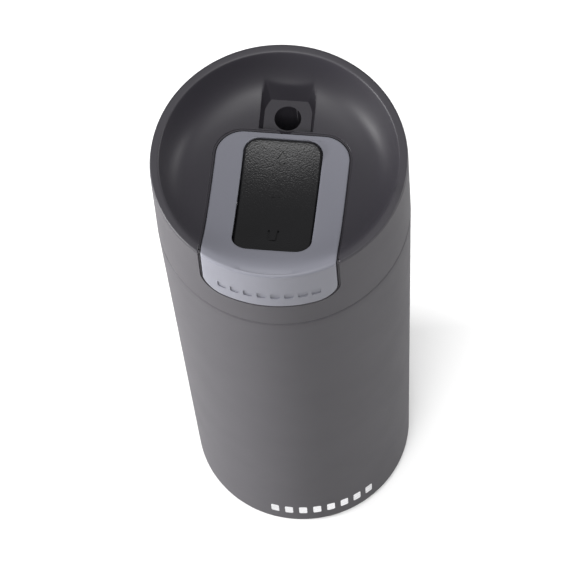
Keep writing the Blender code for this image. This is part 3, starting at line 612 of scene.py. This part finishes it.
def build_lid(materials):
    """Bowl housing, painted collar and trim plate."""
    housing = drawn("lid_housing_fine", materials["charcoal_plastic"], add_levels, housing_levels(),
                    bowl_angles())
    recess = drawn("recess_tool", None, add_recess)
    window = drawn("window_tool", None, add_prism,
                   rounded_rectangle((-WINDOW_HALF - WINDOW_MARGIN, WINDOW_FRONT - WINDOW_MARGIN),
                                     (WINDOW_HALF + WINDOW_MARGIN, WINDOW_BACK + WINDOW_MARGIN),
                                     WINDOW_CORNER),
                   SEAM_HIGH, HEIGHT + WINDOW_TOOL_REACH)
    block_outline = [(-BLOCK_HALF, BLOCK_FRONT), (BLOCK_HALF, BLOCK_FRONT),
                     (BLOCK_HALF, BLOCK_BACK), (-BLOCK_HALF, BLOCK_BACK)]
    block = drawn("block_tool", None, add_prism, block_outline,
                  SPOUT_FLOOR - BLOCK_SKIN, SPOUT_CEILING - BLOCK_TOP_GAP)
    chimney_top = SPOUT_FLOOR - CHIMNEY_OVERLAP
    chimney = [(DRINK_RADIUS, chimney_top), (CHIMNEY_RADIUS, chimney_top),
               (CHIMNEY_RADIUS, CHIMNEY_FOOT), (DRINK_RADIUS, CHIMNEY_FOOT)]
    tube = drawn("chimney_tool", None, add_turned, chimney, (0, DRINK_Y), CHIMNEY_STEPS)
    bore_radius = DRINK_RADIUS - BORE_INSET
    low, high = BORE_ENDS
    bore_profile = [(0, high), (bore_radius, high), (bore_radius, low), (0, low)]
    bore = drawn("bore_tool", None, add_turned, bore_profile, (0, DRINK_Y), BORE_STEPS)
    combine(housing, LID_SHARP, union=(block, tube), difference=(bore, recess, window))

    collar = drawn("lid_collar_fine", materials["grey_paint"], add_turned, collar_profile())
    combine(collar, LID_SHARP, difference=(recess,))
    drop(recess, window, block, tube, bore)

    plate = drawn("trim_plate_fine", materials["slate_plastic"], add_trim_stack, trim_edge_levels(), True)
    marks = drawn("apron_marks_tool", None, add_marks, APRON_MARKS_Z, APRON_MARK_SIZE, APRON_MARK_STEP,
                  lambda z: RIM_RADIUS - MARK_DEPTH, lambda z: RIM_RADIUS + MARK_TOOL_REACH)
    combine(plate, LID_SHARP, difference=(marks,))
    drop(marks)
    stand_for(housing, "lid", "charcoal_plastic", "lid_housing")
    stand_for(collar, "lid", "grey_paint", "lid_collar")
    stand_for(plate, "lid", "slate_plastic", "trim_plate")


# ---------------------------------------------------------------- rocker

def add_pad(bm):
    """Cushion with a rounded edge, following the touch surface."""
    half = WINDOW_HALF - ROCKER_SIDE_CLEARANCE
    front, back = WINDOW_FRONT + ROCKER_CLEARANCE, WINDOW_BACK - ROCKER_CLEARANCE - ROCKER_SWING
    corner = WINDOW_CORNER - ROCKER_CLEARANCE
    outline = rounded_rectangle((-half, front), (half, back), corner)
    bend = arc((0.0, 0.0), ROCKER_EDGE, 0, 90, ROCKER_EDGE_STEPS)
    edge = [(ROCKER_EDGE - r, ROCKER_EDGE - z) for r, z in bend]
    levels = [(0.0, PAD_SKIN)] + edge + [(inset, 0.0) for inset in PAD_INSETS]
    centre = (front + back) / 2
    rows = []
    for share in UNDERSIDE_SHARES:
        points = [(x * share, centre + (y - centre) * share) for x, y in (outline if share else outline[:1])]
        rows.append([bm.verts.new((x, y, rocker_height(x, y) - PAD_SKIN)) for x, y in points])
    for inset, depth in levels:
        row = []
        for x, y in outline:
            px, py = inset_point(x, y, half, front, back, corner, inset)
            row.append(bm.verts.new((px, py, rocker_height(px, py) - depth)))
        rows.append(row)
    core = [tuple(v.co[:2]) for v in rows[-1]]
    for share in TOP_SHARES:
        points = [(x * share, centre + (y - centre) * share) for x, y in (core if share else core[:1])]
        rows.append([bm.verts.new((x, y, rocker_height(x, y))) for x, y in points])
    join_rings(bm, rows)


def inset_point(x, y, half, front, back, corner, inset):
    """Move a point of a rounded rectangle's outline straight inwards."""
    cx = max(-half + corner, min(half - corner, x))
    cy = max(front + corner, min(back - corner, y))
    away = Vector((x - cx, y - cy))
    return Vector((x, y)) - away.normalized() * inset


def add_stroke(bm, path, width, low, high):
    """A groove tool of even width along a path of (x, y); a closed path repeats its first point."""
    closed = path[0] == path[-1]
    points = [Vector(p) for p in (path[:-1] if closed else path)]
    count = len(points)
    sides = []
    for i, point in enumerate(points):
        before = points[i - 1] if closed or i > 0 else point
        after = points[(i + 1) % count] if closed or i < count - 1 else point
        along = (after - before).normalized()
        across = Vector((-along.y, along.x)) * width / 2
        sides.append((point + across, point - across))
    rings = []
    for left, right in sides:
        rings.append([bm.verts.new((p.x, p.y, h(p.x, p.y)))
                      for p, h in ((left, low), (right, low), (right, high), (left, high))])
    pairs = list(zip(rings, rings[1:])) + ([(rings[-1], rings[0])] if closed else [])
    for ring, following in pairs:
        for k in range(4):
            bm.faces.new((ring[k], ring[(k + 1) % 4], following[(k + 1) % 4], following[k]))
    if not closed:
        bm.faces.new(rings[0])
        bm.faces.new(rings[-1][::-1])


def add_icons(bm):
    """Tools for the sunken signs: a drop at the back and a cup at the front."""
    drop_path = arc((0.0, DROP_Y), DROP_RADIUS, 150, 390, 14) + [(0.0, DROP_TIP_Y)]
    for path, width in ((drop_path + drop_path[:1], DROP_WIDTH), (list(CUP), CUP_WIDTH)):
        add_stroke(bm, path, width, lambda x, y: rocker_height(x, y) - ICON_DEPTH,
                   lambda x, y: rocker_height(x, y) + ICON_TOOL_REACH)


def build_rocker(materials):
    """Pad with two sunken signs and a low bar near the pivot."""
    pad = drawn("rocker_pad_fine", materials["soft_black"], add_pad)
    icons = drawn("icon_tool", None, add_icons)
    bar = drawn("bar_tool", None, add_stroke, [(-BAR_HALF, BAR_Y), (BAR_HALF, BAR_Y)], BAR_WIDTH,
                lambda x, y: rocker_height(x, y) - ICON_DEPTH, lambda x, y: rocker_height(x, y) + BAR_PROUD)
    combine(pad, ROCKER_SHARP, union=(bar,), difference=(icons,))
    drop(icons, bar)
    stand_for(pad, "rocker", "soft_black", "rocker_pad")


# ---------------------------------------------------------------- mug

def build_body(materials):
    """Painted shell with a rounded lip and foot."""
    outside = arc((BASE_RADIUS - BASE_CORNER, BASE_LIFT + BASE_CORNER), BASE_CORNER, 0, -90, 12)
    inside = arc((BASE_RADIUS - BASE_CORNER, BASE_LIFT + BASE_CORNER), BASE_CORNER - WALL, -90, 0, 6)
    top = arc((BODY_TOP_RADIUS - SHELL_TOP_ROUND, SEAM_LOW - SHELL_TOP_ROUND), SHELL_TOP_ROUND, 90, 0, 8)
    profile = [(SHELL_LIP_RADIUS, SEAM_LOW)] + top
    rise = top[-1][1] - outside[0][1]
    for i in range(1, SHELL_STEPS):
        share = i / SHELL_STEPS
        profile.append((BODY_TOP_RADIUS + (BASE_RADIUS - BODY_TOP_RADIUS) * share, top[-1][1] - rise * share))
    hole = PAD_RADIUS + FOOT_GAP
    profile += outside + [(hole, BASE_LIFT), (hole, BASE_LIFT + WALL)] + inside
    profile += [(BODY_TOP_RADIUS - WALL, SEAM_LOW - SHELL_TOP_INSIDE), (SHELL_LIP_RADIUS, SEAM_LOW - WALL)]
    shell = drawn("outer_shell_fine", materials["grey_paint"], add_turned, profile)
    stand_for(shell, "mug", "grey_paint", "outer_shell")

    def wall(z):
        """Radius of the painted wall at a height."""
        share = (top[-1][1] - z) / rise
        return BODY_TOP_RADIUS + (BASE_RADIUS - BODY_TOP_RADIUS) * share

    marks = drawn("foot_marks", materials["bare_steel"], add_marks,
                  FOOT_MARKS_Z, FOOT_MARK_SIZE, FOOT_MARK_STEP,
                  lambda z: wall(z) - PRINT_PROUD, lambda z: wall(z) + PRINT_PROUD, FOOT_MARKS_TURN)
    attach(marks, "mug")


def build_foot(materials):
    """Silicone foot with a rounded rim and three ring grooves."""
    profile = [(0, PAD_THICKNESS), (PAD_RADIUS, PAD_THICKNESS)]
    profile += arc((PAD_RADIUS - PAD_ROUND, PAD_ROUND), PAD_ROUND, 0, -90, 5)
    for ring in PAD_GROOVES:
        profile += [(ring + across, up) for across, up in GROOVE_PROFILE]
    foot = drawn("base_pad_fine", materials["foot_silicone"], add_turned, profile + [(0, 0)], steps=PAD_STEPS)
    stand_for(foot, "mug", "foot_silicone", "base_pad")


def stand_for(piece, body, slot, *nodes):
    """Let a fine piece ride on a body in place of CAD nodes."""
    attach(piece, body)
    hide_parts(*nodes)


# ---------------------------------------------------------------- materials

CLOUD_SCALE = 60.0
CLOUD_DETAIL = 4.0
CLOUD_RAMP = (0.3, 0.35)
GLOSS_SPREAD = 0.05
GRAIN_DETAIL = 3.0
BRUSHED = (1.0, 1.0, 12.0)
FINISHES = {
    "grey_paint": dict(colour=(0.043, 0.041, 0.045), roughness=0.58, spread=0.03, grain=0.3, bump=0.012,
                       specular=0.08),
    "charcoal_plastic": dict(colour=(0.0145, 0.0133, 0.0168), roughness=0.50, grain=0.22, bump=0.010,
                             specular=0.32),
    "slate_plastic": dict(colour=(0.100, 0.101, 0.118), roughness=0.5, spread=0.03, grain=0.22, bump=0.008,
                          specular=0.25),
    "soft_black": dict(colour=(0.0025, 0.0025, 0.003), roughness=0.32, grain=0.45, bump=0.07,
                       specular=0.4, leather=True),
    "bare_steel": dict(colour=(0.55, 0.55, 0.56), roughness=0.27, metallic=1.0, spread=0.05, grain=0.5,
                       bump=0.01, stretch=BRUSHED),
    "inner_plastic": dict(colour=(0.045, 0.045, 0.05), roughness=0.5, grain=0.3, bump=0.012),
    "silicone": dict(colour=(0.24, 0.24, 0.25), roughness=0.55, spread=0.05, grain=0.4, bump=0.01),
    "foot_silicone": dict(colour=(0.028, 0.028, 0.03), roughness=0.62, grain=0.4, bump=0.02),
    "braze": dict(colour=(0.35, 0.30, 0.22), roughness=0.45, metallic=1.0, grain=0.4, bump=0.03),
    "getter_alloy": dict(colour=(0.30, 0.30, 0.30), roughness=0.6, metallic=1.0, grain=0.3, bump=0.03),
}


def make_material(name, colour, roughness, metallic=0.0, spread=0.08, grain=0.25, bump=0.02, specular=0.5,
                  stretch=(1.0, 1.0, 1.0), leather=False):
    """Moulded or painted surface: cloudy colour, uneven gloss and a fine grain (sizes in millimetres)."""
    material = bpy.data.materials.new(name)
    material.use_nodes = True
    nodes, links = material.node_tree.nodes, material.node_tree.links
    shader = nodes["Principled BSDF"]
    shader.inputs["Metallic"].default_value = metallic
    shader.inputs["Specular IOR Level"].default_value = specular
    place = nodes.new("ShaderNodeTexCoord")
    mapping = nodes.new("ShaderNodeMapping")
    mapping.inputs["Scale"].default_value = stretch
    links.new(place.outputs["Object"], mapping.inputs["Vector"])

    clouds = nodes.new("ShaderNodeTexNoise")
    clouds.inputs["Scale"].default_value = CLOUD_SCALE
    clouds.inputs["Detail"].default_value = CLOUD_DETAIL
    links.new(mapping.outputs["Vector"], clouds.inputs["Vector"])
    tint = nodes.new("ShaderNodeValToRGB")
    tint.color_ramp.elements[0].position = CLOUD_RAMP[0]
    tint.color_ramp.elements[1].position = CLOUD_RAMP[1]
    tint.color_ramp.elements[0].color = (*(c * (1 - spread) for c in colour), 1)
    tint.color_ramp.elements[1].color = (*(c * (1 + spread) for c in colour), 1)
    links.new(clouds.outputs["Fac"], tint.inputs["Fac"])
    links.new(tint.outputs["Color"], shader.inputs["Base Color"])

    gloss = nodes.new("ShaderNodeMapRange")
    gloss.inputs["To Min"].default_value = roughness - GLOSS_SPREAD
    gloss.inputs["To Max"].default_value = roughness + GLOSS_SPREAD
    links.new(clouds.outputs["Fac"], gloss.inputs["Value"])
    links.new(gloss.outputs["Result"], shader.inputs["Roughness"])

    if leather:
        fine = nodes.new("ShaderNodeTexVoronoi")
        fine.feature = "SMOOTH_F1"
        height = fine.outputs["Distance"]
    else:
        fine = nodes.new("ShaderNodeTexNoise")
        fine.inputs["Detail"].default_value = GRAIN_DETAIL
        height = fine.outputs["Fac"]
    fine.inputs["Scale"].default_value = 1.0 / (grain * MM)
    links.new(mapping.outputs["Vector"], fine.inputs["Vector"])
    relief = nodes.new("ShaderNodeBump")
    relief.inputs["Strength"].default_value = 1.0
    relief.inputs["Distance"].default_value = bump * MM
    links.new(height, relief.inputs["Height"])
    links.new(relief.outputs["Normal"], shader.inputs["Normal"])
    return material


def make_materials():
    return {name: make_material(name, **finish) for name, finish in FINISHES.items()}


def dress_nodes(frame, materials):
    """Give every node of the frame the finish of its slot."""
    slots = node_slots(frame["record"])
    for name, node in frame["nodes"].items():
        node.data.materials.clear()
        node.data.materials.append(materials[slots[name]])
        node.data.shade_smooth()
        node.data.set_sharp_from_angle(angle=math.radians(NODE_SHARP))


def node_slots(record):
    return {part["node"]: part["material_slot"] for part in record["subparts"]}


# ---------------------------------------------------------------- studio

FLOOR_DROP = 0.05
FLOOR_HALF = 3000.0
FLOOR_COLOUR = (0.62, 0.62, 0.62, 1.0)
FLOOR_ROUGHNESS = 0.9
FLOOR_SPECULAR = 0.1
WORLD_COLOUR = (1.0, 1.0, 1.0, 1.0)
WORLD_STRENGTH = 0.35
CAMERA_TARGET = Vector((0.0, 0.0, 0.1))
CAMERA_DISTANCE = 2.2
CAMERA_AZIMUTH = 10.5
CAMERA_ELEVATION = 65.165
CAMERA_TURN = (0.147, 0.048, -5.474)
CAMERA_LENS = 430.95
CAMERA_SENSOR = 36.0
CAMERA_CLIP = (0.1, 20.0)
# Name, azimuth, elevation, distance in metres, size in metres and power in watts
LIGHTS = (("key", -76, 9, 1.4, (0.5, 0.8), 66.0),
          ("side", 114, 9, 1.4, (0.4, 0.8), 19.0),
          ("front", 0, 58, 2.6, (1.6, 1.6), 88.0),
          ("top", 180, 88, 2.4, (1.2, 1.2), 28.0))


def direction(azimuth, elevation):
    """Unit vector towards a place round the object; azimuth 0 is the front and 90 is +X."""
    a, e = math.radians(azimuth), math.radians(elevation)
    return Vector((math.sin(a) * math.cos(e), -math.cos(a) * math.cos(e), math.sin(e)))


def make_camera():
    """Seen from above the front, a little to the right, through a long lens."""
    data = bpy.data.cameras.new("camera")
    data.sensor_width = CAMERA_SENSOR
    data.lens = CAMERA_LENS
    data.clip_start, data.clip_end = CAMERA_CLIP
    camera = bpy.data.objects.new("camera", data)
    bpy.context.collection.objects.link(camera)
    back = direction(CAMERA_AZIMUTH, CAMERA_ELEVATION)
    turn = Matrix.Identity(3)
    for angle, axis in zip((CAMERA_TURN[1], CAMERA_TURN[0], CAMERA_TURN[2]), "YXZ"):
        turn = turn @ Matrix.Rotation(math.radians(angle), 3, axis)
    facing = back.to_track_quat("Z", "Y").to_matrix() @ turn
    camera.matrix_world = Matrix.Translation(CAMERA_TARGET + back * CAMERA_DISTANCE) @ facing.to_4x4()
    bpy.context.scene.camera = camera


def add_light(name, azimuth, elevation, distance, size, power):
    """White rectangular area light that faces the object."""
    data = bpy.data.lights.new(name, "AREA")
    data.shape = "RECTANGLE"
    data.size, data.size_y = size
    data.energy = power
    light = bpy.data.objects.new(name, data)
    bpy.context.collection.objects.link(light)
    back = direction(azimuth, elevation)
    light.location = CAMERA_TARGET + back * distance
    light.rotation_euler = back.to_track_quat("Z", "Y").to_euler()


def make_studio():
    """Pale floor, pale surroundings and large soft lights, the strongest from the left."""
    bm = bmesh.new()
    bmesh.ops.create_grid(bm, x_segments=1, y_segments=1, size=FLOOR_HALF)
    floor = finish_piece("studio_floor", bm, make_floor_material())
    floor.location.z = -FLOOR_DROP * MM
    world = bpy.data.worlds.new("studio")
    world.use_nodes = True
    background = world.node_tree.nodes["Background"]
    background.inputs["Color"].default_value = WORLD_COLOUR
    background.inputs["Strength"].default_value = WORLD_STRENGTH
    bpy.context.scene.world = world
    for light in LIGHTS:
        add_light(*light)


def make_floor_material():
    material = bpy.data.materials.new("studio_floor")
    material.use_nodes = True
    shader = material.node_tree.nodes["Principled BSDF"]
    shader.inputs["Base Color"].default_value = FLOOR_COLOUR
    shader.inputs["Roughness"].default_value = FLOOR_ROUGHNESS
    shader.inputs["Specular IOR Level"].default_value = FLOOR_SPECULAR
    return material


def main():
    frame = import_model()
    make_camera()
    make_studio()
    materials = make_materials()
    dress_nodes(frame, materials)
    build_body(materials)
    build_foot(materials)
    build_lid(materials)
    build_rocker(materials)
    bpy.context.scene.view_settings.view_transform = "Standard"


main()
